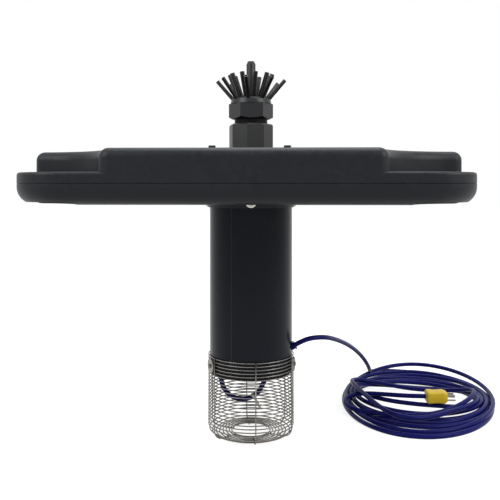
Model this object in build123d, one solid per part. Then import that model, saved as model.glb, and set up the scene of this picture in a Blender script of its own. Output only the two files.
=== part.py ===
from build123d import *
import math
import os

# Floating pond fountain standing on its intake cage, millimetres, +Z up.
# The origin is on the floor at the middle of the cage; the front of the float faces -Y.

# Heights of the cage's top and the float's underside from the floor up
cage_height = 162.0
float_bottom = 474.7

# Float, its depth from the underside to the parting line, the corner shelves and the deck
float_side = 744.0
belly_depth = 33.3
shelf_rise = 18.0
deck_rise = 37.3
seam_chamfer = 0.8
float_corner_radius = 85.0
pocket_radius = 150.0
pocket_arris_radius = 17.0
rim_radius = 15.0
shelf_edge_radius = 5.0
belly_radius = 28.0
belly_relief_radius = 115.0
belly_relief = 4.0
float_wall = 5.0
liner_chamfer = 14.0
foam_gap = 0.3
well_gap = 2.0
mooring_inset = 52.0
mooring_hole_radius = 8.0
mooring_sleeve_wall = 3.0

# Pump sleeve, a six-inch pipe
sleeve_radius = 84.15
sleeve_wall = 7.1
cage_lap = 34.5
glue_gap = 0.05

# Collar that carries the float, and its screws
collar_height = 29.7
collar_wall = 4.0
flange_rim = 10.0
collar_flange_thickness = 6.0
recess_height = 15.5
recess_gap = 4.0
collar_screw_rise = 10.3
collar_screw_head_radius = 10.3
collar_screw_head_height = 4.2
collar_screw_head_round = 3.36
collar_screw_radius = 3.0
collar_screw_length = 16.0
collar_screw_turn = -88.0

# Head plate on top of the float, with its tie bolts
plate_rim = 14.0
plate_thickness = 12.0
socket_depth = 24.0
socket_wall = 5.7
boss_radius = 32.0
boss_depth = 25.0
tie_bolt_reach = 14.1
tie_bolt_radius = 4.0
tie_bolt_hole_gap = 0.5
tie_bolt_turn = 45.0
washer_thickness = 1.6
washer_radius = 9.0
hex_head_flats = 13.0
hex_head_height = 5.3
nut_height = 7.0
bolt_tail = 3.0

# Intake cage of welded wire
wire = 2.4
hoop_pitch = 6.7
hoop_sides = 24
cage_gap = 1.2
cage_corner = 18.0
bend_steps = 3
floor_ring_radius = 38.0
rib_count = 6
rib_turn = -82.0
fender_radius = 14.3
fender_thickness = 1.5
cage_screw_radius = 2.0
cage_screw_length = 14.0
cage_screw_flats = 7.0
cage_screw_head = 2.8
cage_screw_gap_number = 2
cage_screw_turns = (-153.0, -12.0, 110.0)

# Motor
motor_radius = 47.5
can_wall = 3.0
bell_thickness = 12.0
upper_bell_height = 25.0
bell_spigot = 12.0
lead_lean = 36.0
lead_entry_radius = 7.0
lead_entry_depth = 4.5
bell_spigot_wall = 3.0
stator_bore_radius = 27.0
rotor_gap = 0.5
stator_length = 110.0
winding_length = 20.0
winding_end_room = 20.0
winding_wall = 12.0
winding_gap = 2.0
shaft_radius = 6.0
journal_gap = 0.05
rotor_shaft_radius = 8.0
shaft_end_gap = 0.3
shaft_shoulder_gap = 0.5
bearing_radius = 14.0
bearing_length = 14.0
seal_radius = 9.0
seal_length = 8.0
seal_shoulder = 1.0
diaphragm_radius = 36.0
diaphragm_thickness = 2.0
diaphragm_recess = 1.0
coupling_radius = 11.0
coupling_length = 24.0
coupling_lift = 2.0
set_screw_radius = 2.0
centraliser_height = 26.0
centraliser_lobes = 3
centraliser_lobe_width = 24.0
centraliser_band = 4.0

# Pump end
bracket_length = 41.0
bracket_hub_gap = 4.0
bracket_wall = 5.6
bracket_deck = 6.0
window_height = 26.0
window_count = 6
window_width = 24.0
screen_gap = 0.3
screen_thickness = 0.8
screen_slots = 18
screen_slot_width = 7.0
screen_slot_height = 18.0
screen_lap = 3.0
stage_count = 2
stage_pitch = 34.0
shell_wall = 2.6
impeller_radius = 37.0
eye_radius = 17.0
shroud_thickness = 2.0
vane_height = 7.0
vane_count = 6
vane_thickness = 2.0
vane_curve_radius = 24.0
vane_curve_centre = (14.4, -13.2)
shroud_lap = 3.0
impeller_hub_wall = 4.0
impeller_clearance = 5.0
bowl_wall = 3.0
bowl_deck = 4.0
bowl_ports = 8
bowl_port_radius = 5.0
bowl_port_circle = 33.0
bowl_hub_wall = 5.0
bowl_hub_length = 6.0
shaft_tail = 6.0
head_length = 30.0
head_wall = 4.0
head_skirt = 5.0
head_neck_radius = 30.0
head_neck_length = 8.0
riser_radius = 21.0
riser_wall = 4.0
riser_length = 62.3
riser_engagement = 20.0
thread_gap = 0.05

# Nozzle
coupling_flats = 84.0
coupling_height = 54.1
coupling_chamfer = 3.0
coupling_bore_radius = 26.0
coupling_turn = -98.0
coupling_spigot = 15.0
neck_collar_radius = 33.5
neck_collar_height = 10.3
neck_thread_radius = 30.0
neck_thread_length = 20.0
neck_bore_radius = 20.0
neck_spigot = 29.0
head_flats = 78.5
head_hex_height = 31.3
head_hex_chamfer = 4.0
head_chamfer_inset = 1.0
head_turn = -116.0
dome_radius = 42.0
dome_top_radius = 38.6
dome_height = 11.0
dome_edge_width = 1.6
dome_edge_height = 2.5
seat_gap = 0.2
head_thread_gap = 0.3
gasket_thickness = 3.0
gasket_wall = 7.0
plenum_radius = 29.0
spray_plate_thickness = 14.0

# Jets of the spray head
outer_jets = 8
outer_jet_turn = -96.0
outer_jet_lean = 41.0
outer_jet_exit_radius = 38.0
outer_jet_tip_radius = 70.0
outer_jet_radius = 3.9
middle_jets = 10
middle_jet_turn = -76.0
middle_jet_lean = 22.0
middle_jet_tip_radius = 44.0
middle_jet_exit_radius = 24.0
middle_jet_radius = 4.7
jet_wall = 1.1
jet_gap = 0.05
jet_insert = 10.5
jet_cut_below = 23.0
jet_cut_above = 7.0
centre_jet_radius = 9.35
centre_jet_tip_radius = 6.5
centre_jet_tip_length = 6.0
centre_jet_height = 76.5
centre_jet_bore_radius = 4.0

# Power cord
cord_diameter = 10.0
exit_turn = -4.0
exit_lean = 30.0
exit_rise = 14.0
grommet_wall = 2.2
grommet_flange = 1.6
grommet_flange_thickness = 2.0
grommet_reach = 5.5
grommet_tail = 9.5
lead_inner_run = 14.5
lead_first_run = 40.0
lead_route = (
    (-63.5, -6.0, 280.0),
    (-62.0, -9.0, 222.0),
    (-64.5, -7.0, 168.0),
    (-62.5, -4.0, 126.0),
    (-60.0, -3.0, 98.0),
    (-49.2, -2.0, 77.8),
    (-28.8, 0.0, 66.0),
    (-5.2, 2.0, 66.0),
    (15.2, 3.0, 77.8),
    (29.5, 0.0, 108.0),
    (46.5, -5.0, 137.5),
)
tie_run_count = 7
arch_first_run = 23.0
arch_route = (
    (134.0, -1.0, 194.0),
    (156.0, 19.0, 190.0),
    (178.5, 70.0, 174.5),
    (206.0, 132.0, 152.0),
    (234.0, 204.0, 122.5),
    (262.0, 280.0, 86.0),
    (284.5, 348.0, 48.5),
    (296.0, 391.0, 22.0),
    (302.0, 412.0, 12.0),
)
coil_centre = (378.9, 211.4)
coil_outer = (176.0, 258.0)
coil_inner = (118.0, 62.0)
coil_turn = -13.0
coil_height = 22.0
coil_edge = 6.0
plug_centre = (407.0, 132.0)
plug_length = 46.0
plug_width = 30.0
plug_height = 26.0
plug_edge = 4.0
plug_back_chamfer = 2.5
plug_lead_route = ((-20.0, 0.0, 0.0), (-44.0, 4.0, -5.0), (-66.0, 11.0, -14.0), (-86.0, 20.0, -18.0))
blade_length = 17.0
blade_width = 6.3
blade_thickness = 1.5
blade_spacing = 12.7
blade_rise = 3.0
ground_pin_radius = 2.4
ground_pin_length = 20.0
ground_pin_drop = 8.0
tie_width = 4.8
tie_thickness = 1.5
tie_head = 5.0
tie_tail_length = 17.0

# How far a cutting tool reaches past the piece it cuts
past = 1.0

# Heights and radii that follow from the sizes above
parting_height = float_bottom + belly_depth
shelf_height = parting_height + shelf_rise
float_top = shelf_height + deck_rise
plate_top = float_top + plate_thickness
coupling_top = plate_top + coupling_height
neck_shoulder = coupling_top + neck_collar_height
neck_top = neck_shoulder + neck_thread_length
nozzle_bottom = neck_shoulder + seat_gap
hex_top = neck_shoulder + head_hex_height
nozzle_top = hex_top + dome_height
plenum_top = nozzle_top - spray_plate_thickness
gasket_top = neck_top + gasket_thickness
sleeve_bottom = cage_height - cage_lap
exit_height = cage_height + exit_rise
sleeve_bore = sleeve_radius - sleeve_wall
collar_bore = sleeve_radius + glue_gap
collar_radius = collar_bore + collar_wall
socket_radius = collar_bore + socket_wall
well_radius = socket_radius + well_gap
tie_bolt_place = socket_radius + tie_bolt_reach
collar_flange_radius = tie_bolt_place + flange_rim
plate_radius = tie_bolt_place + plate_rim
recess_top = float_bottom + recess_height
collar_bottom = recess_top - collar_height
recess_radius = collar_flange_radius + recess_gap
half_side = float_side / 2
riser_top = float_top - boss_depth + riser_engagement
riser_bottom = riser_top - riser_length
head_top = riser_bottom + riser_engagement
stack_top = head_top - head_length
bracket_top = stack_top - stage_count * stage_pitch
motor_top = bracket_top - bracket_length
can_length = stator_length + 2 * (winding_length + winding_end_room)
can_top = motor_top - upper_bell_height
can_bottom = can_top - can_length
motor_bottom = can_bottom - bell_thickness
can_radius = motor_radius - can_wall
bearing_bore = shaft_radius + journal_gap
shaft_foot = can_bottom + shaft_end_gap
shaft_joint = motor_top + coupling_lift + coupling_length / 2
shell_bore = motor_radius - shell_wall
cage_inner = sleeve_radius + cage_gap
rib_middle = cage_inner + 1.5 * wire
top_hoop = cage_height - wire
cord_radius = cord_diameter / 2
middle_of_facet = math.cos(math.pi / hoop_sides)


def lathe(*outline):
    """A turned solid from its outline of (radius, height) points."""
    return revolve(Plane.XZ * make_face(Polyline(*outline, close=True)), Axis.Z)


def ring(outer, inner, bottom, top):
    return lathe((inner, bottom), (outer, bottom), (outer, top), (inner, top))


def rod(radius, bottom, top):
    return Pos(0, 0, bottom) * extrude(Circle(radius), top - bottom)


def hexagon(flats, bottom, top):
    return Pos(0, 0, bottom) * extrude(RegularPolygon(flats / 2, 6, major_radius=False), top - bottom)


def around(shape, count, start=0.0):
    """Copies of one shape, evenly spaced about the upright axis."""
    return [Rot(0, 0, start + 360 / count * i) * shape for i in range(count)]


def outward(shape, radius, height, turn):
    """Lay a shape modelled along +Z so that it points outwards at a turn about the axis."""
    return Rot(0, 0, turn) * Pos(radius, 0, height) * Rot(0, 90, 0) * shape


def save(name, *shapes):
    solids = [solid for shape in shapes for solid in shape.solids()]
    body = solids[0] if len(solids) == 1 else Compound(children=solids)
    export_step(body, f"parts/{name}.step")


def float_plan(inset, pockets):
    """Plan of the float: a square with round corners, with or without its four corner pockets."""
    side = float_side - 2 * inset
    plan = RectangleRounded(side, side, float_corner_radius - inset)
    if pockets:
        plan -= [Pos(x, y) * Circle(pocket_radius + inset) for x, y in corners(half_side)]
    return plan


def corners(reach):
    return [(reach, reach), (-reach, reach), (-reach, -reach), (reach, -reach)]


def bottom_edges(shape):
    return shape.edges().group_by(Axis.Z)[0]


def top_edges(shape):
    return shape.edges().group_by(Axis.Z)[-1]


def float_lower_block(inset):
    block = Pos(0, 0, float_bottom + inset) * extrude(
        float_plan(inset, False), parting_height - float_bottom - inset
    )
    if inset:
        return chamfer(bottom_edges(block), liner_chamfer)
    block = chamfer(top_edges(fillet(bottom_edges(block), belly_radius)), seam_chamfer)
    relief = rod(belly_relief_radius, float_bottom - past, float_bottom + belly_relief)
    return block - [Pos(x, y, 0) * relief for x, y in corners(half_side)]


def float_upper_block(inset):
    slab = Pos(0, 0, parting_height) * extrude(
        float_plan(inset, False), shelf_height - parting_height - inset
    )
    deck = Pos(0, 0, parting_height) * extrude(
        float_plan(inset, True), float_top - parting_height - inset
    )
    if inset:
        return slab + chamfer(top_edges(deck), liner_chamfer / 2)
    arrises = [edge for edge in deck.edges().filter_by(Axis.Z) if is_arris(edge)]
    deck = fillet(arrises, pocket_arris_radius)
    deck = fillet(top_edges(deck), rim_radius)
    slab = fillet(top_edges(slab), shelf_edge_radius)
    whole = slab + deck
    return chamfer(bottom_edges(whole), seam_chamfer)


def is_arris(edge):
    """True for an upright edge where a pocket meets a straight side of the float."""
    middle = edge.center()
    return max(abs(middle.X), abs(middle.Y)) > half_side - past


def float_holes(radius_gap=0.0):
    """The well for the pump sleeve, the tie-bolt holes and the mooring holes, as one list of cuts."""
    well = rod(well_radius - radius_gap, float_bottom - past, float_top + past)
    bolt = rod(tie_bolt_radius + tie_bolt_hole_gap - radius_gap, float_bottom - past, float_top + past)
    bolts = around(Pos(tie_bolt_place, 0, 0) * bolt, 4, tie_bolt_turn)
    mooring = rod(mooring_hole_radius + mooring_sleeve_wall - radius_gap, float_bottom - past, float_top)
    moorings = [Pos(x, y, 0) * mooring for x, y in corners(half_side - mooring_inset)]
    return [well] + bolts + moorings


def make_float():
    recess = rod(recess_radius, float_bottom - past, recess_top)
    hood = rod(recess_radius + float_wall, float_bottom - past, recess_top + float_wall)
    chimney = rod(well_radius + float_wall, recess_top + float_wall, float_top)
    lower = float_lower_block(0) - (float_lower_block(float_wall) - hood) - recess
    save("float_lower_shell", lower - float_holes())
    upper = float_upper_block(0) - (float_upper_block(float_wall) - chimney)
    save("float_upper_shell", upper - rod(well_radius, recess_top, float_top + past) - float_holes())
    clear = float_wall + foam_gap
    foam = float_lower_block(clear) + float_upper_block(clear)
    foam -= rod(recess_radius + clear, float_bottom, recess_top + clear)
    save("foam_core", foam - float_holes(-clear))
    sleeve = ring(
        mooring_hole_radius + mooring_sleeve_wall,
        mooring_hole_radius,
        float_bottom + belly_relief,
        shelf_height,
    )
    save("mooring_sleeves", *[Pos(x, y, 0) * sleeve for x, y in corners(half_side - mooring_inset)])


def make_sleeve():
    """The pump sleeve: a pipe with its screw holes and the slanted hole of the cord."""
    pipe = ring(sleeve_radius, sleeve_bore, sleeve_bottom, float_top)
    collar_hole = Cylinder(collar_screw_radius + glue_gap, 4 * sleeve_wall)
    collar_hole = outward(collar_hole, sleeve_radius, collar_screw_height(), 0)
    pipe -= around(collar_hole, 4, collar_screw_turn)
    cage_hole = Cylinder(cage_screw_radius + glue_gap, 4 * sleeve_wall)
    for turn in cage_screw_turns:
        pipe -= outward(cage_hole, sleeve_radius, cage_screw_height(), turn)
    pipe -= at_exit(Cylinder(grommet_radius() + glue_gap, 8 * sleeve_wall))
    save("pump_sleeve", pipe)


def collar_screw_height():
    return collar_bottom + collar_screw_rise


def cage_screw_height():
    return top_hoop + wire / 2 - (cage_screw_gap_number + 0.5) * hoop_pitch


def grommet_radius():
    return cord_radius + grommet_wall


def at_exit(shape):
    """Place a shape modelled about its own +Z axis where the cord leaves the sleeve, along the cord."""
    return Rot(0, 0, exit_turn) * Pos(sleeve_radius, 0, exit_height) * Rot(0, 90 - exit_lean, 0) * shape


def make_collar():
    """The collar under the float, a turned ring with a flange in the float's recess."""
    flange_bottom = recess_top - collar_flange_thickness
    collar = lathe(
        (collar_bore, collar_bottom),
        (collar_radius, collar_bottom),
        (collar_radius, flange_bottom),
        (collar_flange_radius, flange_bottom),
        (collar_flange_radius, recess_top),
        (socket_radius, recess_top),
        (socket_radius, recess_top + collar_flange_thickness),
        (collar_bore, recess_top + collar_flange_thickness),
    )
    hole = Cylinder(collar_screw_radius + glue_gap, 6 * collar_wall)
    hole = outward(hole, collar_radius, collar_screw_height(), 0)
    collar -= around(hole, 4, collar_screw_turn)
    bolt_hole = rod(tie_bolt_radius + tie_bolt_hole_gap, flange_bottom - past, recess_top + past)
    collar -= around(Pos(tie_bolt_place, 0, 0) * bolt_hole, 4, tie_bolt_turn)
    save("float_collar", collar)
    head = rod(collar_screw_head_radius, 0, collar_screw_head_height)
    head = fillet(top_edges(head), collar_screw_head_round)
    shank = rod(collar_screw_radius, -collar_screw_length, 0)
    screw = outward(head + shank, collar_radius, collar_screw_height(), 0)
    save("collar_screws", *around(screw, 4, collar_screw_turn))


def make_head_plate():
    """The round plate on top of the float; the pump hangs from its boss, the nozzle stands on it."""
    plate = lathe(
        (riser_radius - riser_wall, riser_top),
        (riser_radius + thread_gap, riser_top),
        (riser_radius + thread_gap, float_top - boss_depth),
        (boss_radius, float_top - boss_depth),
        (boss_radius, float_top),
        (collar_bore, float_top),
        (collar_bore, float_top - socket_depth),
        (socket_radius, float_top - socket_depth),
        (socket_radius, float_top),
        (plate_radius, float_top),
        (plate_radius, plate_top),
        (coupling_bore_radius - thread_gap, plate_top),
        (coupling_bore_radius - thread_gap, plate_top + coupling_spigot),
        (riser_radius - riser_wall, plate_top + coupling_spigot),
    )
    bolt_hole = rod(tie_bolt_radius + tie_bolt_hole_gap, float_top - past, plate_top + past)
    save("head_plate", plate - around(Pos(tie_bolt_place, 0, 0) * bolt_hole, 4, tie_bolt_turn))


def make_tie_bolts():
    """Four long bolts that clamp the float between the head plate and the collar's flange."""
    flange_bottom = recess_top - collar_flange_thickness
    nut_top = flange_bottom - washer_thickness
    washer_top = plate_top + washer_thickness
    bolt = rod(tie_bolt_radius, nut_top - nut_height - bolt_tail, washer_top)
    bolt += hexagon(hex_head_flats, washer_top, washer_top + hex_head_height)
    hole = tie_bolt_radius + glue_gap
    nut = hexagon(hex_head_flats, nut_top - nut_height, nut_top)
    nut -= rod(hole, nut_top - nut_height - past, nut_top + past)
    upper_washer = ring(washer_radius, hole, plate_top, washer_top)
    lower_washer = ring(washer_radius, hole, nut_top, flange_bottom)
    place = Pos(tie_bolt_place, 0, 0)
    save("tie_bolts", *around(place * bolt, 4, tie_bolt_turn))
    save("tie_nuts", *around(place * nut, 4, tie_bolt_turn))
    washers = around(place * upper_washer, 4, tie_bolt_turn) + around(place * lower_washer, 4, tie_bolt_turn)
    save("tie_washers", *washers)


def rib_line(offset):
    """Points (radius, height) down a rib, round its bend and in along the floor, offset outwards."""
    reach = cage_corner + offset
    corner = reach / math.cos(math.radians(45 / bend_steps))
    centre_r = rib_middle - cage_corner
    centre_z = wire / 2 + cage_corner
    points = [(centre_r + reach, cage_height)]
    for i in range(bend_steps):
        angle = math.radians(90 / bend_steps * (i + 0.5))
        points.append((centre_r + corner * math.cos(angle), centre_z - corner * math.sin(angle)))
    points.append((floor_ring_radius, centre_z - reach))
    return points


def hoop_seats():
    """Places of the hoops on the ribs' inner side: (radius, height, lean of the rib there)."""
    centre_r = rib_middle - cage_corner
    centre_z = wire / 2 + cage_corner
    reach = cage_corner - wire / 2
    seats = []
    height = top_hoop + wire / 2
    while height > centre_z:
        seats.append((centre_r + reach, height, 0.0))
        height -= hoop_pitch
    for i in range(1, bend_steps):
        lean = math.radians(90 / bend_steps * i)
        seats.append((centre_r + reach * math.cos(lean), centre_z - reach * math.sin(lean), lean))
    radius = centre_r
    while radius > floor_ring_radius + wire:
        seats.append((radius, centre_z - reach, math.pi / 2))
        radius -= hoop_pitch
    seats.append((floor_ring_radius + wire / 2, centre_z - reach, math.pi / 2))
    return seats


def hoop(radius, height, lean):
    """One wire hoop with flat facets, standing on the inner side of the ribs."""
    out = (math.cos(lean), -math.sin(lean))
    along = (math.sin(lean), math.cos(lean))
    section = []
    for across, side in ((0, -1), (0, 1), (1, 1), (1, -1)):
        section.append(
            (
                radius - across * wire * out[0] + side * wire / 2 * along[0],
                height - across * wire * out[1] + side * wire / 2 * along[1],
            )
        )
    faces = []
    for k in range(hoop_sides):
        for (r1, z1), (r2, z2) in zip(section, section[1:] + section[:1]):
            a = [facet_point(r, z, k + i) for r, z, i in ((r1, z1, 0), (r1, z1, 1), (r2, z2, 1), (r2, z2, 0))]
            faces.append(Face(Wire.make_polygon(a)))
    return Rot(0, 0, rib_turn) * Solid(Shell(faces))


def facet_point(radius, height, number):
    angle = 2 * math.pi * (number - 0.5) / hoop_sides
    corner = radius / middle_of_facet
    return Vector(corner * math.cos(angle), corner * math.sin(angle), height)


def make_cage():
    """The intake cage: hoops welded on the inner side of six bent ribs, all one piece."""
    outline = rib_line(wire / 2) + rib_line(-wire / 2)[::-1]
    rib = extrude(Plane.XZ * make_face(Polyline(*outline, close=True)), wire / 2, both=True)
    ribs = around(rib, rib_count, rib_turn)
    save("intake_cage", ribs[0].fuse(*ribs[1:], *[hoop(*seat) for seat in hoop_seats()]))
    seat = (cage_inner + wire) / middle_of_facet
    fender = ring(fender_radius, cage_screw_radius + glue_gap, 0, fender_thickness)
    screw = rod(cage_screw_radius, fender_thickness - cage_screw_length, fender_thickness)
    screw += hexagon(cage_screw_flats, fender_thickness, fender_thickness + cage_screw_head)
    height = cage_screw_height()
    save("cage_washers", *[outward(fender, seat, height, turn) for turn in cage_screw_turns])
    save("cage_screws", *[outward(screw, seat, height, turn) for turn in cage_screw_turns])


def make_motor():
    """The submersible motor: can, end bells, stator, rotor, shaft, bearings, seal and diaphragm."""
    spigot = can_radius - glue_gap
    save("motor_can", ring(motor_radius, can_radius, can_bottom, can_top))
    bearing_seat = bearing_radius + glue_gap
    recess = diaphragm_radius + glue_gap
    ceiling = motor_bottom + diaphragm_recess + diaphragm_thickness
    lower = lathe(
        (0, ceiling),
        (recess, ceiling),
        (recess, motor_bottom),
        (motor_radius, motor_bottom),
        (motor_radius, can_bottom),
        (spigot, can_bottom),
        (spigot, can_bottom + bell_spigot),
        (bearing_seat, can_bottom + bell_spigot),
        (bearing_seat, can_bottom),
        (0, can_bottom),
    )
    save("motor_lower_bell", lower)
    save("motor_diaphragm", rod(diaphragm_radius, ceiling - diaphragm_thickness, ceiling))
    save("lower_bearing", ring(bearing_radius, bearing_bore, can_bottom, can_bottom + bearing_length))
    seal_seat = seal_radius + glue_gap
    bearing_top = motor_top - seal_length - seal_shoulder
    upper = lathe(
        (seal_seat, bearing_top),
        (seal_seat, motor_top),
        (motor_radius, motor_top),
        (motor_radius, can_top),
        (spigot, can_top),
        (spigot, can_top - bell_spigot),
        (spigot - bell_spigot_wall, can_top - bell_spigot),
        (spigot - bell_spigot_wall, can_top),
        (bearing_seat, bearing_top - bearing_length),
        (bearing_seat, bearing_top),
    )
    along_lead = Plane(lead_entry(), z_dir=lead_way())
    save("motor_upper_bell", upper - along_lead * extrude(Circle(cord_radius + glue_gap), lead_first_run))
    save("upper_bearing", ring(bearing_radius, bearing_bore, bearing_top - bearing_length, bearing_top))
    save("shaft_seal", ring(seal_radius, bearing_bore, motor_top - seal_length, motor_top))
    middle = (can_bottom + can_top) / 2
    stator_bottom = middle - stator_length / 2
    stator_top = middle + stator_length / 2
    save("stator_core", ring(spigot, stator_bore_radius, stator_bottom, stator_top))
    winding_bore = stator_bore_radius + winding_gap
    turns = [
        ring(winding_bore + winding_wall, winding_bore, base, base + winding_length)
        for base in (stator_bottom - winding_length, stator_top)
    ]
    save("stator_windings", *turns)
    rotor_bore = rotor_shaft_radius + glue_gap
    save("rotor_core", ring(stator_bore_radius - rotor_gap, rotor_bore, stator_bottom, stator_top))
    shaft = rod(shaft_radius, shaft_foot, shaft_joint)
    shoulders = bearing_length + shaft_shoulder_gap
    shaft += rod(rotor_shaft_radius, can_bottom + shoulders, bearing_top - shoulders)
    save("motor_shaft", shaft)


def lead_entry():
    """Where the lead ends inside the upper bell."""
    return Vector(lead_entry_radius - motor_radius, 0, motor_top - lead_entry_depth)


def lead_way():
    """The way the lead leaves the motor, down and out."""
    lean = math.radians(lead_lean)
    return Vector(-math.sin(lean), 0, -math.cos(lean))


def make_coupling():
    low = shaft_joint - coupling_length / 2
    coupling = ring(coupling_radius, shaft_radius + glue_gap, low, low + coupling_length)
    hole = outward(Cylinder(set_screw_radius, 3 * coupling_radius), 0, 0, 0)
    holes = [Pos(0, 0, low + share * coupling_length) * hole for share in (0.25, 0.75)]
    save("shaft_coupling", coupling - holes)


def make_centraliser():
    """The rubber ring round the motor whose lobes keep the pump in the middle of its sleeve."""
    low = (can_bottom + can_top) / 2 - centraliser_height / 2
    inner = motor_radius + glue_gap
    band = ring(inner + centraliser_band, inner, low, low + centraliser_height)
    lobe = Box(sleeve_bore, centraliser_lobe_width, centraliser_height)
    lobe = Pos(sleeve_bore / 2, 0, low + centraliser_height / 2) * lobe
    band += around(lobe, centraliser_lobes)
    save("motor_centraliser", band & ring(sleeve_bore - glue_gap, inner, low, low + centraliser_height))


def make_intake():
    """The suction bracket between motor and pump, and the slotted screen round its windows."""
    middle = motor_top + bracket_length / 2
    hub = coupling_radius + bracket_hub_gap
    inside = motor_radius - bracket_wall
    bracket = lathe(
        (hub, motor_top),
        (motor_radius, motor_top),
        (motor_radius, bracket_top),
        (eye_radius, bracket_top),
        (eye_radius, bracket_top - bracket_deck),
        (inside, bracket_top - bracket_deck),
        (inside, motor_top + bracket_deck),
        (hub, motor_top + bracket_deck),
    )
    window = Pos(motor_radius, 0, middle) * Box(4 * bracket_wall, window_width, window_height)
    save("intake_bracket", bracket - around(window, window_count, 180 / window_count))
    inner = motor_radius + screen_gap
    reach = window_height / 2 + screen_lap
    screen = ring(inner + screen_thickness, inner, middle - reach, middle + reach)
    slot = Pos(inner, 0, middle) * Box(4 * screen_thickness, screen_slot_width, screen_slot_height)
    save("intake_screen", screen - around(slot, screen_slots))


def impeller(base):
    """A closed impeller: two shrouds with swept-back vanes between them, on a hub."""
    bore = shaft_radius + glue_gap
    deck = base + shroud_thickness + vane_height
    wheel = ring(impeller_radius, eye_radius - shroud_lap, base, base + shroud_thickness)
    wheel += ring(impeller_radius, bore, deck, deck + shroud_thickness)
    wheel += ring(bore + impeller_hub_wall, bore, base, deck)
    arc = Circle(vane_curve_radius) - Circle(vane_curve_radius - vane_thickness)
    quarter = Pos(impeller_radius / 2, impeller_radius / 2) * Rectangle(impeller_radius, impeller_radius)
    blade = Pos(*vane_curve_centre) * arc & quarter
    blade &= Circle(impeller_radius) - Circle(eye_radius - shroud_lap)
    vane = Pos(0, 0, base) * extrude(blade, deck - base + shroud_thickness)
    return wheel + around(vane, vane_count)


def bowl(base):
    """A diffuser bowl: the wall of one stage, a deck with ports, and the hub that guides the shaft."""
    outer = shell_bore - glue_gap
    top = base + stage_pitch
    deck = top - bowl_deck
    body = ring(outer, outer - bowl_wall, base, top)
    body += ring(outer, bearing_bore, deck, top)
    body += ring(bearing_bore + bowl_hub_wall, bearing_bore, deck - bowl_hub_length, top)
    port = Pos(bowl_port_circle, 0, 0) * rod(bowl_port_radius, deck - past, top + past)
    return body - around(port, bowl_ports)


def make_pump():
    """The pump end: its shell, two stages, the shaft, the discharge head and the riser pipe."""
    save("pump_shell", ring(motor_radius, shell_bore, bracket_top, stack_top))
    for stage in range(stage_count):
        base = bracket_top + stage * stage_pitch
        save(f"impeller_{stage + 1}", impeller(base + impeller_clearance))
        save(f"diffuser_bowl_{stage + 1}", bowl(base))
    save("pump_shaft", rod(shaft_radius, shaft_joint, stack_top + shaft_tail))
    inside = riser_radius - riser_wall
    head = lathe(
        (shell_bore - head_wall, stack_top),
        (motor_radius, stack_top),
        (motor_radius, stack_top + head_skirt),
        (head_neck_radius, head_top - head_neck_length),
        (head_neck_radius, head_top),
        (riser_radius + thread_gap, head_top),
        (riser_radius + thread_gap, riser_bottom),
        (inside, riser_bottom),
    )
    save("discharge_head", head)
    save("riser_pipe", ring(riser_radius, inside, riser_bottom, riser_top))


def make_nozzle_base():
    """The eight-sided coupling on the head plate and the threaded neck glued into it."""
    outline = RegularPolygon(coupling_flats / 2, 8, major_radius=False)
    block = Pos(0, 0, plate_top) * extrude(outline, coupling_height)
    block = Rot(0, 0, coupling_turn) * chamfer(top_edges(block), coupling_chamfer)
    save("nozzle_coupling", block - rod(coupling_bore_radius, plate_top - past, coupling_top + past))
    neck = lathe(
        (neck_bore_radius, coupling_top - neck_spigot),
        (coupling_bore_radius - thread_gap, coupling_top - neck_spigot),
        (coupling_bore_radius - thread_gap, coupling_top),
        (neck_collar_radius, coupling_top),
        (neck_collar_radius, neck_shoulder),
        (neck_thread_radius, neck_shoulder),
        (neck_thread_radius, neck_top),
        (neck_bore_radius, neck_top),
    )
    save("nozzle_neck", neck)


def jet(radius, bore, length):
    """A plain jet tube standing on its lower end."""
    return rod(radius, 0, length) - rod(bore, -past, length + past)


def jet_place(exit_radius, lean):
    """Where a jet leaves the top of the spray head, leaning outwards."""
    return Pos(exit_radius, 0, nozzle_top) * Rot(0, lean, 0)


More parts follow.
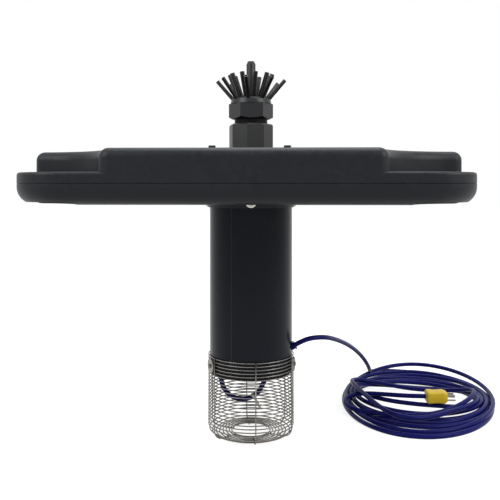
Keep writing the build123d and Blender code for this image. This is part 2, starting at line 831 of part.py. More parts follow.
def make_nozzle():
    """The screw-on spray head with its gasket and its three kinds of jet."""
    block = Rot(0, 0, head_turn) * hexagon(head_flats, nozzle_bottom, hex_top)
    corner = head_flats / math.sqrt(3) + head_chamfer_inset
    trim = lathe(
        (0, nozzle_bottom),
        (head_flats / 2 - head_chamfer_inset, nozzle_bottom),
        (corner, nozzle_bottom + head_hex_chamfer),
        (corner, hex_top),
        (0, hex_top),
    )
    dome = lathe(
        (0, hex_top),
        (dome_radius, hex_top),
        (dome_top_radius + dome_edge_width, nozzle_top - dome_edge_height),
        (dome_top_radius, nozzle_top),
        (0, nozzle_top),
    )
    socket = rod(neck_thread_radius + head_thread_gap, nozzle_bottom - past, gasket_top)
    plenum = rod(plenum_radius, neck_top, plenum_top)
    head = (block & trim) + dome - socket - plenum
    outer_place = jet_place(outer_jet_exit_radius, outer_jet_lean)
    middle_place = jet_place(middle_jet_exit_radius, middle_jet_lean)
    outer_cut = outer_place * rod(outer_jet_radius + jet_gap, -jet_cut_below, jet_cut_above)
    middle_cut = middle_place * rod(middle_jet_radius + jet_gap, -jet_cut_below, jet_cut_above)
    head -= around(outer_cut, outer_jets, outer_jet_turn)
    head -= around(middle_cut, middle_jets, middle_jet_turn)
    head -= rod(centre_jet_radius + jet_gap, plenum_top - past, nozzle_top + past)
    save("spray_head", head)
    gasket_outer = neck_thread_radius + head_thread_gap - glue_gap
    save("nozzle_gasket", ring(gasket_outer, gasket_outer - gasket_wall, neck_top, gasket_top))
    outer_length = (outer_jet_tip_radius - outer_jet_exit_radius) / math.sin(math.radians(outer_jet_lean))
    outer = jet(outer_jet_radius, outer_jet_radius - jet_wall, outer_length + jet_insert)
    save("outer_jets", *around(outer_place * Pos(0, 0, -jet_insert) * outer, outer_jets, outer_jet_turn))
    middle_length = (middle_jet_tip_radius - middle_jet_exit_radius) / math.sin(math.radians(middle_jet_lean))
    middle = jet(middle_jet_radius, middle_jet_radius - jet_wall, middle_length + jet_insert)
    middles = around(middle_place * Pos(0, 0, -jet_insert) * middle, middle_jets, middle_jet_turn)
    save("middle_jets", *middles)
    tip = nozzle_top + centre_jet_height
    centre = lathe(
        (centre_jet_bore_radius, plenum_top),
        (centre_jet_radius, plenum_top),
        (centre_jet_radius, tip - centre_jet_tip_length),
        (centre_jet_tip_radius, tip),
        (centre_jet_bore_radius, tip),
    )
    save("centre_jet", centre)


def tube_along(name, points):
    """A round cord along straight runs joined by arcs as large as the runs allow."""
    points = [Vector(*p) for p in points]
    radii = []
    for before, at, after in zip(points, points[1:], points[2:]):
        turn = math.radians((at - before).get_angle(after - at))
        shorter = min((at - before).length, (after - at).length)
        radii.append(0.45 * shorter / math.tan(turn / 2))
    path = FilletPolyline(*points, radius=radii)
    start = Plane(points[0], z_dir=points[1] - points[0])
    tube = sweep(start * Circle(cord_radius), path=path)
    whole = math.pi * cord_radius**2 * path.length
    print(name, "radii", [round(r) for r in radii], "length", round(path.length, 1))
    print(name, "volume over section times length", round(tube.volume / whole, 5))
    return tube


def exit_point(reach):
    """A point on the axis of the cord's exit hole, outwards from the sleeve's surface."""
    return at_exit(Pos(0, 0, reach) * Vertex(0, 0, 0)).center()


def make_cord():
    """The power cord: lead inside the sleeve, grommet, free arch, coil on the floor, plug."""
    inner_end = -grommet_tail
    outer_end = grommet_reach + grommet_flange_thickness
    bush = rod(grommet_radius(), inner_end, grommet_reach)
    bush += rod(grommet_radius() + grommet_flange, grommet_reach, outer_end)
    bush -= rod(cord_radius + glue_gap, inner_end - past, outer_end + past)
    save("cable_grommet", at_exit(bush))
    out = exit_point(outer_end)
    bend = lead_entry() + lead_way() * lead_first_run
    lead = [lead_entry(), bend, *lead_route, exit_point(inner_end - lead_inner_run), out]
    save("motor_lead", tube_along("motor_lead", lead))
    free = [out, exit_point(outer_end + arch_first_run), *arch_route]
    save("cord_arch", tube_along("cord_arch", free))
    outer = extrude(Ellipse(*coil_outer), coil_height)
    outer = fillet(top_edges(outer), coil_edge)
    coil = outer - extrude(Ellipse(*coil_inner), coil_height)
    save("cord_coil", Pos(*coil_centre, 0) * Rot(0, 0, coil_turn) * coil)


def make_plug():
    """The moulded plug lying on the coil, its two blades and earth pin, and its last bit of cord."""
    x, y = plug_centre
    middle = coil_height + plug_height / 2
    body = Pos(x, y, middle) * Box(plug_length, plug_width, plug_height)
    body = fillet(body.edges().filter_by(Axis.X), plug_edge)
    body = chamfer(body.faces().sort_by(Axis.X)[0].edges(), plug_back_chamfer)
    save("plug_body", body)
    face = x + plug_length / 2
    blade = Box(blade_length, blade_thickness, blade_width)
    blade = Pos(face + blade_length / 2, y, middle + blade_rise) * blade
    blades = [Pos(0, side * blade_spacing / 2, 0) * blade for side in (-1, 1)]
    ground = Rot(0, 90, 0) * extrude(Circle(ground_pin_radius), ground_pin_length)
    save("plug_pins", *blades, Pos(face, y, middle - ground_pin_drop) * ground)
    back = Vector(x - plug_length / 2, y, middle)
    lead = [back] + [back + Vector(*step) for step in plug_lead_route]
    save("plug_lead", tube_along("plug_lead", lead))


def make_lead_tie():
    """The nylon tie round the lead's loop in the cage, its head and cut tail standing up."""
    start, end = [Vector(*point) for point in lead_route[tie_run_count : tie_run_count + 2]]
    outer = cord_radius + tie_thickness
    band = ring(outer, cord_radius + glue_gap, -tie_width / 2, tie_width / 2)
    head = Pos(0, outer + tie_head / 2 - glue_gap, 0) * Box(tie_head, tie_head, tie_width)
    tail = Box(tie_thickness, tie_tail_length, tie_width)
    tail = Pos(0, outer + tie_head + tie_tail_length / 2 - glue_gap, 0) * tail
    place = Plane((start + end) * 0.5, x_dir=(0, -1, 0), z_dir=end - start)
    save("lead_tie", place * (band + head + tail))


os.makedirs("parts", exist_ok=True)
make_float()
make_sleeve()
make_collar()
make_head_plate()
make_tie_bolts()
make_cage()
make_motor()
make_coupling()
make_centraliser()
make_intake()
make_pump()
make_nozzle_base()
make_nozzle()
make_cord()
make_plug()
make_lead_tie()
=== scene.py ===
import math

import bmesh
import bpy
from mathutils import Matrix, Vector


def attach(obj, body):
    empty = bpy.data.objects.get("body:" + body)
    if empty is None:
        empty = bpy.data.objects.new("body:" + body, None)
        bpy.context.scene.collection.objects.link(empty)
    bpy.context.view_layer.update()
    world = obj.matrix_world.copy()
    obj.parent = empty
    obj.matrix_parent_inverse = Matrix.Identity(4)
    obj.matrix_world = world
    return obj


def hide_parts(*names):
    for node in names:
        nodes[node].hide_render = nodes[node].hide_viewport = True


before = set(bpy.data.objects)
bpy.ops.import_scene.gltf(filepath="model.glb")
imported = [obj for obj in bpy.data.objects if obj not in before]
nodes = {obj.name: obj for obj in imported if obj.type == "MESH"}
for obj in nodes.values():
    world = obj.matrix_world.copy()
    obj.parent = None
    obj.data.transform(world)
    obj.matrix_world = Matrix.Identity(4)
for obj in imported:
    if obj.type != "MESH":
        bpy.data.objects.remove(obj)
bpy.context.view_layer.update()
scene = bpy.context.scene

# Camera: about 1.4 m in front of the fountain and a little to its right, at the height of the
# float's underside, with the film shifted down so that the uprights stay upright.
camera_distance = 1.408
camera_height = 0.5073
camera_turn = math.radians(2.0)
camera = bpy.data.objects.new("camera", bpy.data.cameras.new("camera"))
camera.location = (
    camera_distance * math.sin(camera_turn),
    -camera_distance * math.cos(camera_turn),
    camera_height,
)
camera.rotation_euler = (math.radians(90), 0, camera_turn)
camera.data.lens = 49.4
camera.data.sensor_width = 36.0
camera.data.shift_x = -0.002
camera.data.shift_y = -0.132
camera.data.clip_end = 60.0
scene.collection.objects.link(camera)
scene.camera = camera
scene.view_settings.view_transform = "Standard"

# Pump sleeve: a length of glossy black six-inch plastic pipe that holds the pump. It is cut and
# drilled, glued into the head plate above, and has the faint line that the extruder leaves.
pipe_black = (0.0055, 0.0075, 0.012)
pipe_dust = (0.09, 0.1, 0.12)
line_place = -0.0357
line_width = 0.0007
line_tone = (0.045, 0.055, 0.07)


def new_group(name, inputs, outputs):
    """An empty shader node group with named sockets, and its two end nodes."""
    group = bpy.data.node_groups.new(name, "ShaderNodeTree")
    for label, kind, value in inputs:
        group.interface.new_socket(label, in_out="INPUT", socket_type=kind).default_value = value
    for label, kind in outputs:
        group.interface.new_socket(label, in_out="OUTPUT", socket_type=kind)
    return group, group.nodes.new("NodeGroupInput"), group.nodes.new("NodeGroupOutput")


def add(tree, kind, **settings):
    """A new node with some of its settings or free inputs given by name."""
    node = tree.nodes.new(kind)
    for key, value in settings.items():
        if hasattr(node, key):
            setattr(node, key, value)
        else:
            node.inputs[key.replace("_", " ")].default_value = value
    return node


def feed(tree, value, socket):
    """Link a socket to a value that is another node's output, or set it to a plain value."""
    if isinstance(value, bpy.types.NodeSocket):
        tree.links.new(value, socket)
    else:
        socket.default_value = value


def math_node(tree, operation, *values, clamp=False):
    """A Math node whose inputs are outputs of other nodes or numbers. Gives its output."""
    node = add(tree, "ShaderNodeMath", operation=operation, use_clamp=clamp)
    for socket, value in zip(node.inputs, values):
        feed(tree, value, socket)
    return node.outputs[0]


def spread(tree, value, low, high, to_low=0.0, to_high=1.0):
    """A value's range from low to high, spread over another range. Gives the output."""
    node = add(tree, "ShaderNodeMapRange", From_Min=low, From_Max=high, To_Min=to_low, To_Max=to_high)
    tree.links.new(value, node.inputs["Value"])
    return node.outputs["Result"]


def blend_colour(tree, amount, first, second):
    """A mix of two colours. Gives the output."""
    node = add(tree, "ShaderNodeMix", data_type="RGBA")
    for socket, value in zip((node.inputs[0], node.inputs[6], node.inputs[7]), (amount, first, second)):
        feed(tree, value, socket)
    return node.outputs[2]


def noise(tree, place, scale, detail=3.0, distortion=0.0):
    """Soft noise in the object's own space. Gives the output."""
    node = add(tree, "ShaderNodeTexNoise", Detail=detail, Distortion=distortion)
    tree.links.new(place, node.inputs["Vector"])
    feed(tree, scale, node.inputs["Scale"])
    return node.outputs["Fac"]


def make_moulded_skin():
    """Moulded plastic or rubber: broad tone patches, fine grain, scuffs, and dust on what faces up."""
    group, ins, outs = new_group(
        "moulded_skin",
        [
            ("Colour", "NodeSocketColor", (0.02, 0.02, 0.02, 1)),
            ("Dust Colour", "NodeSocketColor", (0.2, 0.2, 0.2, 1)),
            ("Dust", "NodeSocketFloat", 0.1),
            ("Grain Size", "NodeSocketFloat", 900.0),
            ("Roughness", "NodeSocketFloat", 0.4),
            ("Roughness Change", "NodeSocketFloat", 0.1),
        ],
        [("Colour", "NodeSocketColor"), ("Roughness", "NodeSocketFloat"), ("Height", "NodeSocketFloat")],
    )
    place = add(group, "ShaderNodeTexCoord").outputs["Object"]
    scuffs = noise(group, place, 60.0, 8.0, 1.5)
    upright = add(group, "ShaderNodeSeparateXYZ")
    group.links.new(add(group, "ShaderNodeNewGeometry").outputs["Normal"], upright.inputs[0])
    settled = spread(group, upright.outputs["Z"], -0.3, 0.8)
    speckle = spread(group, scuffs, 0.25, 0.85)
    amount = math_node(group, "MULTIPLY", math_node(group, "MULTIPLY", settled, speckle), ins.outputs["Dust"])
    toned = add(group, "ShaderNodeVectorMath", operation="SCALE")
    group.links.new(ins.outputs["Colour"], toned.inputs[0])
    group.links.new(spread(group, noise(group, place, 9.0), 0.0, 1.0, 0.75, 1.25), toned.inputs["Scale"])
    colour = blend_colour(group, amount, toned.outputs[0], ins.outputs["Dust Colour"])
    rough = math_node(group, "MULTIPLY_ADD", scuffs, ins.outputs["Roughness Change"], ins.outputs["Roughness"])
    group.links.new(colour, outs.inputs["Colour"])
    group.links.new(rough, outs.inputs["Roughness"])
    group.links.new(noise(group, place, ins.outputs["Grain Size"], 2.0), outs.inputs["Height"])
    return group


moulded_skin = make_moulded_skin()


def finish_from(skin, name, values, specular, relief_strength, metallic=0.0):
    """A material whose colour, roughness and relief come from one of the skins, with its own values."""
    material = bpy.data.materials.new(name)
    material.use_nodes = True
    tree = material.node_tree
    shader = tree.nodes["Principled BSDF"]
    shader.inputs["Specular IOR Level"].default_value = specular
    shader.inputs["Metallic"].default_value = metallic
    surface = tree.nodes.new("ShaderNodeGroup")
    surface.node_tree = skin
    for label, value in values.items():
        surface.inputs[label].default_value = value
    relief = add(tree, "ShaderNodeBump", Strength=relief_strength, Distance=0.001)
    tree.links.new(surface.outputs["Colour"], shader.inputs["Base Color"])
    tree.links.new(surface.outputs["Roughness"], shader.inputs["Roughness"])
    tree.links.new(surface.outputs["Height"], relief.inputs["Height"])
    tree.links.new(relief.outputs["Normal"], shader.inputs["Normal"])
    return material


def moulded(name, colour, dust_colour, dust, roughness, change, grain_size, specular=0.5, relief=0.05):
    """A plastic or rubber finish."""
    values = {
        "Colour": (*colour, 1),
        "Dust Colour": (*dust_colour, 1),
        "Dust": dust,
        "Grain Size": grain_size,
        "Roughness": roughness,
        "Roughness Change": change,
    }
    return finish_from(moulded_skin, name, values, specular, relief)


def dress(piece, material):
    piece.data.materials.clear()
    piece.data.materials.append(material)


def dress_nodes(names, material, crease=35.0):
    """Give solids of the frame their finish, shaded smooth up to their creases."""
    for name in names:
        mesh = nodes[name].data
        dress(nodes[name], material)
        mesh.polygons.foreach_set("use_smooth", [True] * len(mesh.polygons))
        mesh.set_sharp_from_angle(angle=math.radians(crease))


pipe_finish = moulded("pipe_black", pipe_black, pipe_dust, 0.04, 0.2, 0.12, 700.0, 0.1, 0.02)
pipe_tree = pipe_finish.node_tree
pipe_place = add(pipe_tree, "ShaderNodeSeparateXYZ")
pipe_tree.links.new(add(pipe_tree, "ShaderNodeTexCoord").outputs["Object"], pipe_place.inputs[0])
off_line = math_node(
    pipe_tree, "ABSOLUTE", math_node(pipe_tree, "SUBTRACT", pipe_place.outputs["X"], line_place)
)
on_line = spread(pipe_tree, off_line, line_width, 0.0)
in_front = spread(pipe_tree, pipe_place.outputs["Y"], -0.01, -0.02)
line_amount = math_node(pipe_tree, "MULTIPLY", on_line, in_front)
pipe_shader = pipe_tree.nodes["Principled BSDF"]
pipe_colour = pipe_shader.inputs["Base Color"].links[0].from_socket
lined = blend_colour(pipe_tree, line_amount, pipe_colour, (*line_tone, 1))
pipe_tree.links.new(lined, pipe_shader.inputs["Base Color"])
dress_nodes(["pump_sleeve"], pipe_finish)

# Intake cage: stainless wire, 2.4 mm thick. The hoops are spot-welded to the inner side of six
# bent ribs, each weld a small flattened bead, and the floor rings leave the middle open.
wire = 0.0024
cage_height = 0.162
hoop_radius = 0.08655
hoop_top = 0.1608
hoop_pitch = 0.0067
rib_radius = 0.08895
bend_radius = 0.018
bend_steps = 10
bend_centre = (0.07095, 0.0192)
floor_ring = 0.0392
rib_end = 0.038
rib_count = 6
rib_turn = math.radians(-82.0)
hoop_steps = 84
wire_sides = 8
weld_size = (0.0017, 0.0022, 0.0013)


def sweep_wire(mesh, points, outs, ups, closed):
    """A round wire along points, given its two cross directions at each point."""
    rings = []
    for point, out, up in zip(points, outs, ups):
        ring = []
        for k in range(wire_sides):
            angle = 2 * math.pi * k / wire_sides
            reach = out * math.cos(angle) + up * math.sin(angle)
            ring.append(mesh.verts.new(point + reach * wire / 2))
        rings.append(ring)
    pairs = list(zip(rings, rings[1:]))
    if closed:
        pairs.append((rings[-1], rings[0]))
    else:
        mesh.faces.new(rings[0])
        mesh.faces.new(rings[-1][::-1])
    for first, second in pairs:
        for k in range(wire_sides):
            after = (k + 1) % wire_sides
            mesh.faces.new((first[k], second[k], second[after], first[after]))


def turned(radius, height, angle):
    """The point at a radius and height, turned about the sleeve's axis."""
    return Vector((radius * math.cos(angle), radius * math.sin(angle), height))


def add_hoop(mesh, radius, height):
    angles = [2 * math.pi * i / hoop_steps for i in range(hoop_steps)]
    points = [turned(radius, height, a) for a in angles]
    outs = [turned(1, 0, a) for a in angles]
    sweep_wire(mesh, points, outs, [Vector((0, 0, 1))] * hoop_steps, True)


def add_rib(mesh, angle):
    """A rib from the cage's top down, round its bend and in along the floor."""
    line = [(rib_radius, cage_height, 0.0)]
    for i in range(bend_steps + 1):
        lean = math.pi / 2 * i / bend_steps
        radius = bend_centre[0] + bend_radius * math.cos(lean)
        line.append((radius, bend_centre[1] - bend_radius * math.sin(lean), lean))
    line.append((rib_end, bend_centre[1] - bend_radius, math.pi / 2))
    points = [turned(radius, height, angle) for radius, height, lean in line]
    outs = [turned(math.cos(lean), -math.sin(lean), angle) for radius, height, lean in line]
    side = turned(1, 0, angle + math.pi / 2)
    sweep_wire(mesh, points, outs, [side] * len(line), False)


def hoop_places():
    """Every hoop's (radius, height, lean of the rib there)."""
    places = []
    height = hoop_top
    while height > bend_centre[1]:
        places.append((hoop_radius, height, 0.0))
        height -= hoop_pitch
    for degrees in (30, 60):
        lean = math.radians(degrees)
        reach = bend_radius - wire
        places.append((bend_centre[0] + reach * math.cos(lean), bend_centre[1] - reach * math.sin(lean), lean))
    radius = bend_centre[0]
    while radius > rib_end + wire:
        places.append((radius, 1.5 * wire, math.pi / 2))
        radius -= hoop_pitch
    places.append((floor_ring, 1.5 * wire, math.pi / 2))
    return places


def add_weld(mesh, radius, height, lean, angle):
    """A flattened bead where a hoop crosses a rib."""
    out = turned(math.cos(lean), -math.sin(lean), angle)
    side = turned(1, 0, angle + math.pi / 2)
    along = out.cross(side)
    centre = turned(radius, height, angle) + out * wire / 2
    bead = bmesh.ops.create_icosphere(mesh, subdivisions=1, radius=1.0)["verts"]
    for vert in bead:
        x, y, z = vert.co
        vert.co = centre + out * x * weld_size[0] + side * y * weld_size[1] + along * z * weld_size[2]


def mesh_piece(name, mesh, material, smooth=True):
    """Turn a bmesh into an object of the scene with its finish."""
    bmesh.ops.recalc_face_normals(mesh, faces=mesh.faces)
    data = bpy.data.meshes.new(name)
    mesh.to_mesh(data)
    mesh.free()
    data.polygons.foreach_set("use_smooth", [smooth] * len(data.polygons))
    piece = bpy.data.objects.new(name, data)
    scene.collection.objects.link(piece)
    dress(piece, material)
    return piece


def make_worked_metal():
    """Drawn, rolled or plated metal: fine streaks, dull spots and stains."""
    group, ins, outs = new_group(
        "worked_metal",
        [
            ("Colour", "NodeSocketColor", (0.6, 0.58, 0.55, 1)),
            ("Stain Colour", "NodeSocketColor", (0.25, 0.2, 0.15, 1)),
            ("Stains", "NodeSocketFloat", 0.2),
            ("Streak Size", "NodeSocketFloat", 1500.0),
            ("Roughness", "NodeSocketFloat", 0.3),
            ("Roughness Change", "NodeSocketFloat", 0.15),
        ],
        [("Colour", "NodeSocketColor"), ("Roughness", "NodeSocketFloat"), ("Height", "NodeSocketFloat")],
    )
    place = add(group, "ShaderNodeTexCoord").outputs["Object"]
    blots = noise(group, place, 130.0, 6.0, 0.8)
    amount = math_node(group, "MULTIPLY", spread(group, blots, 0.5, 0.72), ins.outputs["Stains"])
    colour = blend_colour(group, amount, ins.outputs["Colour"], ins.outputs["Stain Colour"])
    streaks = noise(group, place, ins.outputs["Streak Size"], 3.0)
    rough = math_node(group, "MULTIPLY_ADD", streaks, ins.outputs["Roughness Change"], ins.outputs["Roughness"])
    group.links.new(colour, outs.inputs["Colour"])
    group.links.new(rough, outs.inputs["Roughness"])
    group.links.new(streaks, outs.inputs["Height"])
    return group


worked_metal = make_worked_metal()


def metal(name, colour, stain_colour, stains, roughness, change, streak_size=1500.0, relief=0.03):
    """A bare or plated metal finish."""
    values = {
        "Colour": (*colour, 1),
        "Stain Colour": (*stain_colour, 1),
        "Stains": stains,
        "Streak Size": streak_size,
        "Roughness": roughness,
        "Roughness Change": change,
    }
    return finish_from(worked_metal, name, values, 0.5, relief, 1.0)


wire_finish = metal("stainless_wire", (0.2, 0.19, 0.175), (0.06, 0.05, 0.04), 0.5, 0.22, 0.2)
cage_mesh = bmesh.new()
rib_angles = [rib_turn + 2 * math.pi * i / rib_count for i in range(rib_count)]
for radius, height, lean in hoop_places():
    add_hoop(cage_mesh, radius, height)
    for angle in rib_angles:
        add_weld(cage_mesh, radius, height, lean, angle)
for angle in rib_angles:
    add_rib(cage_mesh, angle)
cage = mesh_piece("cage_wires", cage_mesh, wire_finish)
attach(cage, "housing")
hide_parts("intake_cage")

# Cage fasteners: three zinc-plated fender washers bridge the hoops, each held to the sleeve by
# a small hexagon-head screw.
zinc_finish = metal("zinc_plate", (0.27, 0.26, 0.23), (0.14, 0.12, 0.09), 0.4, 0.38, 0.2, 400.0)
dress_nodes(["cage_washers"], zinc_finish)
dress_nodes(["cage_screws"], metal("dark_screw", (0.16, 0.155, 0.15), (0.07, 0.06, 0.05), 0.4, 0.32, 0.2))

# Motor: a sealed stainless can with pressed end bells, hung in the sleeve. Its wound stator is
# potted inside, the rotor runs in ceramic bearings, and a rubber ring keeps it centred.
sheet_finish = metal("stainless_sheet", (0.45, 0.44, 0.425), (0.2, 0.18, 0.15), 0.25, 0.26, 0.18, 900.0)
rubber_finish = moulded("black_rubber", (0.012, 0.012, 0.013), (0.12, 0.12, 0.12), 0.3, 0.55, 0.2, 1400.0, 0.3)
ceramic_finish = moulded("pale_ceramic", (0.72, 0.72, 0.68), (0.5, 0.5, 0.45), 0.2, 0.15, 0.1, 900.0)
dress_nodes(["motor_can", "motor_lower_bell", "motor_upper_bell", "motor_shaft"], sheet_finish)
dress_nodes(["motor_diaphragm", "motor_centraliser"], rubber_finish)
dress_nodes(["stator_core", "rotor_core"], metal("core_iron", (0.2, 0.2, 0.21), (0.1, 0.06, 0.04), 0.4, 0.45, 0.2))
dress_nodes(["stator_windings"], metal("wound_copper", (0.6, 0.24, 0.1), (0.3, 0.1, 0.04), 0.4, 0.3, 0.2, 600.0))
dress_nodes(["lower_bearing", "upper_bearing", "shaft_seal"], ceramic_finish)

# Pump end: two moulded impellers and bowls in a steel shell above a slotted intake, joined to
# the motor's shaft by a coupling and hung from the head plate by its riser pipe.
dress_nodes(["shaft_coupling", "intake_bracket", "intake_screen", "pump_shell"], sheet_finish)
dress_nodes(["pump_shaft", "discharge_head", "riser_pipe"], sheet_finish)
bowl_finish = moulded("pump_plastic", (0.62, 0.6, 0.52), (0.4, 0.38, 0.3), 0.3, 0.35, 0.2, 700.0)
dress_nodes(["impeller_1", "impeller_2", "diffuser_bowl_1", "diffuser_bowl_2"], bowl_finish)

# Motor lead: the same blue cable as the power cord. It drops from the motor, loops through the
# cage, held by a white nylon tie, and leaves the sleeve through a blue rubber grommet.
cord_blue = (0.004, 0.0055, 0.1)
cord_bloom = (0.06, 0.06, 0.2)
cord_finish = moulded("cord_blue", cord_blue, cord_bloom, 0.08, 0.24, 0.16, 420.0, 0.08, 0.04)
nylon_finish = moulded("white_nylon", (0.72, 0.71, 0.66), (0.5, 0.47, 0.4), 0.25, 0.35, 0.15, 900.0)
dress_nodes(["motor_lead", "cable_grommet"], cord_finish)
dress_nodes(["lead_tie"], nylon_finish)

# Collar: a turned black plastic ring glued round the sleeve. Its flange sits in the float's
# recess, and four domed stainless screws pin it to the pipe.
collar_finish = moulded("collar_black", (0.005, 0.006, 0.009), (0.08, 0.09, 0.1), 0.06, 0.3, 0.15, 900.0, 0.25)
dress_nodes(["float_collar"], collar_finish)
dress_nodes(["collar_screws"], metal("domed_screw", (0.5, 0.49, 0.46), (0.2, 0.18, 0.15), 0.3, 0.24, 0.15))

# Float: two thick black polyethylene shells, moulded apart and welded along the parting line
# round a foam core. The surface is satin, finely pebbled, and holds a little dust on top.
float_black = (0.0055, 0.007, 0.0095)
float_finish = moulded("float_black", float_black, (0.1, 0.11, 0.12), 0.22, 0.36, 0.16, 650.0, 0.18, 0.08)
foam_finish = moulded("white_foam", (0.75, 0.74, 0.68), (0.6, 0.58, 0.5), 0.3, 0.8, 0.1, 300.0, 0.3, 0.4)
dress_nodes(["float_upper_shell", "float_lower_shell", "mooring_sleeves"], float_finish)
dress_nodes(["foam_core"], foam_finish)

# Head plate: a turned black disc that closes the float's well. Four long blackened bolts clamp
# the float between it and the collar, and the pump hangs from its boss.
plate_finish = moulded("plate_black", (0.006, 0.007, 0.009), (0.1, 0.11, 0.12), 0.14, 0.34, 0.15, 800.0, 0.25)
bolt_finish = metal("blackened_bolt", (0.03, 0.03, 0.032), (0.09, 0.08, 0.07), 0.3, 0.36, 0.15)
dress_nodes(["head_plate"], plate_finish)
dress_nodes(["tie_bolts", "tie_nuts", "tie_washers"], bolt_finish, 25.0)

# Nozzle base: an eight-sided moulded coupling on the head plate with a round threaded neck glued into it,
# and a flat rubber gasket on the neck's end. The neck's finish is painted shade: it is darker and less glossy than
# the coupling's to stand for the shadow between the coupling and the spray head.
base_finish = moulded("coupling_black", (0.011, 0.0115, 0.012), (0.1, 0.1, 0.1), 0.12, 0.32, 0.15, 850.0, 0.35)
# Painted shade: the neck's near-black colour and low specular stand for the shadow under the spray head, not a darker
# plastic.
neck_shade_finish = moulded("neck_painted_shade", (0.004, 0.004, 0.0045), (0.06, 0.06, 0.06), 0.1, 0.4, 0.15, 850.0, 0.06)
dress_nodes(["nozzle_coupling"], base_finish, 25.0)
dress_nodes(["nozzle_neck"], neck_shade_finish, 25.0)
dress_nodes(["nozzle_gasket"], rubber_finish)

# Spray head: a moulded six-sided cap that screws onto the neck, with eight outer jets, ten
# steeper middle jets and a tapered centre tube pressed into its domed top.
head_finish = moulded("head_black", (0.008, 0.0085, 0.0105), (0.1, 0.1, 0.1), 0.12, 0.3, 0.15, 850.0, 0.32)
jet_finish = moulded("jet_black", (0.006, 0.006, 0.0075), (0.08, 0.08, 0.08), 0.1, 0.26, 0.15, 900.0, 0.4)
dress_nodes(["spray_head"], head_finish, 25.0)
dress_nodes(["outer_jets", "middle_jets", "centre_jet"], jet_finish, 30.0)

# Power cord: one length of blue rubber-jacketed cable, 10 mm thick. It leaves the sleeve through
# the grommet, arches to the floor, lies in a loose oval coil and comes back over it to the plug.
cord_radius = 0.005
sleeve_radius = 0.08415
exit_turn = math.radians(-4.0)
exit_lean = math.radians(30.0)
exit_height = 0.176
grommet_mouth = 0.0075
first_run = 0.0305
exit_flat = math.cos(exit_lean)
exit_way = Vector((exit_flat * math.cos(exit_turn), exit_flat * math.sin(exit_turn), math.sin(exit_lean)))
exit_place = Vector((sleeve_radius * math.cos(exit_turn), sleeve_radius * math.sin(exit_turn), exit_height))
arch = [
    exit_place + exit_way * grommet_mouth,
    exit_place + exit_way * first_run,
    (0.134, -0.001, 0.194),
    (0.156, 0.019, 0.190),
    (0.1785, 0.070, 0.1745),
    (0.206, 0.132, 0.152),
    (0.234, 0.204, 0.1225),
    (0.262, 0.280, 0.086),
    (0.2845, 0.348, 0.0485),
    (0.296, 0.391, 0.022),
    (0.302, 0.412, 0.012),
]
coil_centre = (0.3789, 0.2114)
coil_turn = math.radians(-13.0)
coil_steps = 16
coil_points = 108
coil_swell = 1.0194
landing = [
    (-0.1195, 0.197, 0.009),
    (-0.109, 0.215, 0.006),
    (-0.091, 0.2265, 0.005),
    (-0.060, 0.2305, 0.005),
    (-0.030, 0.231, 0.005),
]
coil_quarters = [
    ((0.150, 0.005), (0.226, 0.005), (0.168, 0.005), (0.247, 0.005)),
    ((0.165, 0.005), (0.243, 0.024), (0.170, 0.016), (0.223, 0.005)),
    ((0.160, 0.015), (0.203, 0.013), (0.158, 0.005), (0.198, 0.008)),
    ((0.155, 0.005), (0.186, 0.009), (0.156, 0.015), (0.172, 0.005)),
    ((0.150, 0.015), (0.163, 0.007), (0.148, 0.005), (0.146, 0.005)),
    ((0.145, 0.005), (0.146, 0.006), (0.146, 0.015), (0.118, 0.008)),
    ((0.141, 0.015), (0.128, 0.006), (0.138, 0.005), (0.078, 0.017)),
    ((0.136, 0.021), (0.112, 0.006), (0.138, 0.020), (0.200, 0.026)),
]
top_turns = [
    (-0.137, 0.010, 0.021),
    (-0.131, 0.036, 0.018),
    (-0.110, 0.060, 0.013),
    (-0.067, 0.078, 0.009),
    (-0.015, 0.083, 0.006),
    (0.040, 0.079, 0.008),
    (0.090, 0.064, 0.012),
    (0.125, 0.036, 0.017),
    (0.139, 0.000, 0.021),
    (0.132, -0.045, 0.022),
    (0.109, -0.088, 0.023),
    (0.079, -0.130, 0.024),
    (0.048, -0.170, 0.025),
    (0.016, -0.200, 0.026),
    (-0.018, -0.207, 0.027),
    (-0.050, -0.190, 0.029),
    (-0.078, -0.153, 0.032),
    (-0.105, -0.109, 0.036),
    (-0.129, -0.062, 0.038),
    (-0.1465, -0.020, 0.038),
    (-0.150, 0.012, 0.035),
    (-0.139, 0.039, 0.029),
    (-0.110, 0.056, 0.022),
    (-0.070, 0.062, 0.015),
    (-0.010, 0.061, 0.009),
    (0.047, 0.057, 0.011),
    (0.092, 0.046, 0.018),
    (0.121, 0.027, 0.028),
    (0.131, 0.000, 0.033),
    (0.123, -0.043, 0.032),
    (0.101, -0.086, 0.028),
    (0.068, -0.124, 0.022),
    (0.028, -0.147, 0.017),
    (-0.020, -0.158, 0.015),
    (-0.066, -0.159, 0.015),
    (-0.105, -0.156, 0.015),
    (-0.1335, -0.1468, 0.017),
    (-0.1513, -0.1241, 0.020),
    (-0.1513, -0.0959, 0.024),
    (-0.1335, -0.0732, 0.027),
    (-0.105, -0.064, 0.028),
    (-0.070, -0.065, 0.029),
    (-0.036, -0.074, 0.032),
    (-0.010, -0.079, 0.034),
    (0.008, -0.0785, 0.035),
    (0.0228, -0.0762, 0.035),
]


def on_coil(across, along, height):
    """A point given across and along the coil's oval, as a point of the frame."""
    c, s = math.cos(coil_turn), math.sin(coil_turn)
    return (coil_centre[0] + across * c - along * s, coil_centre[1] + across * s + along * c, height)


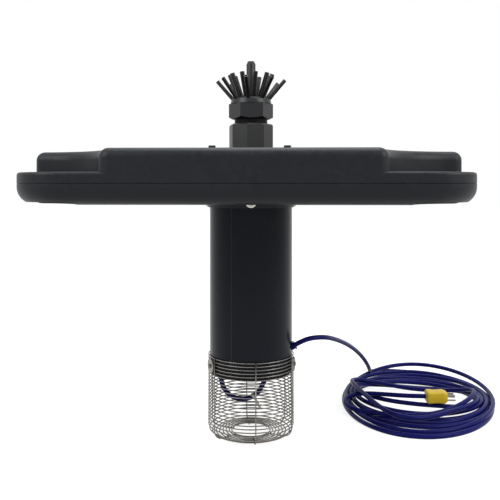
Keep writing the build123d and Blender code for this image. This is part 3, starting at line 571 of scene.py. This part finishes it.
def coil_point(quarters):
    """The coil's line after so many quarter turns, counted from its left end by way of its far side."""
    whole = int(quarters)
    number, quarter = divmod(whole, 4)
    share = quarters - whole
    start = coil_quarters[number][quarter]
    end = coil_quarters[number][quarter + 1] if quarter < 3 else coil_quarters[number + 1][0]
    across = start[0] if quarter % 2 == 0 else end[0]
    along = end[0] if quarter % 2 == 0 else start[0]
    angle = math.pi / 2 * quarters
    height = start[1] + (end[1] - start[1]) * share * share * (3 - 2 * share)
    return on_coil(-across * math.cos(angle) * coil_swell, along * math.sin(angle) * coil_swell, height)


def make_cable(name, route, radius):
    """A round cable along one smooth line whose control points are the route's points."""
    curve = bpy.data.curves.new(name, "CURVE")
    curve.dimensions = "3D"
    curve.bevel_depth = radius
    curve.bevel_resolution = 6
    curve.resolution_u = 8
    curve.use_fill_caps = True
    line = curve.splines.new("NURBS")
    line.points.add(len(route) - 1)
    for point, place in zip(line.points, route):
        point.co = (*place, 1)
    line.order_u = 3
    line.use_endpoint_u = True
    piece = bpy.data.objects.new(name, curve)
    scene.collection.objects.link(piece)
    return piece


cord_route = arch + [on_coil(*point) for point in landing]
cord_route += [coil_point(1 + i * 4 / coil_steps) for i in range(coil_points)]
cord_route += [on_coil(*point) for point in top_turns]
cord = make_cable("power_cord", cord_route, cord_radius)
dress(cord, cord_finish)
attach(cord, "housing")
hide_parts("cord_arch", "cord_coil", "plug_lead")

# Plug: a yellow moulded three-pin plug lying on the coil. Its body is waisted for the fingers
# and tapers to the face, which holds two plated blades and an earth pin.
plug_centre = (0.132, 0.035)
plug_corner = 0.004
corner_steps = 5
plug_sections = [
    (0.3840, 0.0116, 0.0096),
    (0.3846, 0.0127, 0.0107),
    (0.3872, 0.0150, 0.0130),
    (0.3930, 0.0150, 0.0130),
    (0.4010, 0.0143, 0.0123),
    (0.4110, 0.0143, 0.0123),
    (0.4190, 0.0150, 0.0130),
    (0.4225, 0.0150, 0.0130),
    (0.4285, 0.0128, 0.0108),
    (0.4300, 0.0116, 0.0096),
]


def round_section(x, half_width, half_height):
    """Points of a rectangle with round corners, across the plug at x."""
    points = []
    for number, (side, up) in enumerate(((1, 1), (-1, 1), (-1, -1), (1, -1))):
        for k in range(corner_steps + 1):
            angle = math.pi / 2 * (number + k / corner_steps)
            y = side * (half_width - plug_corner) + plug_corner * math.cos(angle)
            z = up * (half_height - plug_corner) + plug_corner * math.sin(angle)
            points.append((x, plug_centre[0] + y, plug_centre[1] + z))
    return points


plug_finish = moulded("plug_yellow", (0.72, 0.5, 0.018), (0.4, 0.3, 0.06), 0.45, 0.35, 0.2, 500.0, 0.4, 0.06)
pin_finish = metal("plated_pins", (0.4, 0.39, 0.36), (0.2, 0.18, 0.15), 0.2, 0.3, 0.15)
plug_mesh = bmesh.new()
rings = [[plug_mesh.verts.new(point) for point in round_section(*section)] for section in plug_sections]
for first, second in zip(rings, rings[1:]):
    for k in range(len(first)):
        after = (k + 1) % len(first)
        plug_mesh.faces.new((first[k], first[after], second[after], second[k]))
plug_mesh.faces.new(rings[0])
plug_mesh.faces.new(rings[-1][::-1])
plug = mesh_piece("plug_moulding", plug_mesh, plug_finish)
plug.data.set_sharp_from_angle(angle=math.radians(38.0))
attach(plug, "housing")
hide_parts("plug_body")
dress_nodes(["plug_pins"], pin_finish, 25.0)

# Studio: a plain white floor that keeps the shadow, a white surround and three soft lamps.
floor_half = 12.0
floor_tone = (0.4, 0.4, 0.4, 1)
floor_glow = 0.82
surround_low = 0.6
surround_seen = 1.0


def seen_directly(tree):
    """1 for a ray from the camera, a mirror or glass, 0 for the light on the object."""
    path = add(tree, "ShaderNodeLightPath")
    seen = math_node(tree, "ADD", path.outputs["Is Camera Ray"], path.outputs["Is Glossy Ray"])
    return math_node(tree, "ADD", seen, path.outputs["Is Transmission Ray"], clamp=True)


floor_finish = bpy.data.materials.new("white_floor")
floor_finish.use_nodes = True
floor_tree = floor_finish.node_tree
floor_shader = floor_tree.nodes["Principled BSDF"]
floor_shader.inputs["Base Color"].default_value = floor_tone
floor_shader.inputs["Roughness"].default_value = 0.9
floor_shader.inputs["Emission Color"].default_value = (1, 1, 1, 1)
glow = math_node(floor_tree, "MULTIPLY", seen_directly(floor_tree), floor_glow)
floor_tree.links.new(glow, floor_shader.inputs["Emission Strength"])
floor_mesh = bmesh.new()
corners = [(-floor_half, -floor_half), (floor_half, -floor_half), (floor_half, floor_half), (-floor_half, floor_half)]
floor_mesh.faces.new([floor_mesh.verts.new((x, y, 0)) for x, y in corners])
floor = mesh_piece("floor", floor_mesh, floor_finish, False)

world = bpy.data.worlds.new("studio")
scene.world = world
world.use_nodes = True
sky = world.node_tree
surround = sky.nodes["Background"]
surround.inputs["Color"].default_value = (1, 1, 1, 1)
level = spread(sky, seen_directly(sky), 0.0, 1.0, surround_low, surround_seen)
sky.links.new(level, surround.inputs["Strength"])


def lamp(name, place, aim, size, power):
    """A square soft lamp aimed at a point."""
    data = bpy.data.lights.new(name, "AREA")
    data.energy = power
    data.size = size
    piece = bpy.data.objects.new(name, data)
    piece.location = place
    piece.rotation_euler = (Vector(aim) - Vector(place)).to_track_quat("-Z", "Y").to_euler()
    scene.collection.objects.link(piece)


lamp("lamp_left", (-1.6, -1.3, 1.7), (0, 0, 0.35), 1.2, 28.0)
lamp("lamp_right", (1.8, -0.9, 1.5), (0.1, 0.1, 0.3), 1.2, 26.0)
lamp("lamp_top", (0.1, 0.3, 2.3), (0, 0, 0.4), 1.5, 28.0)
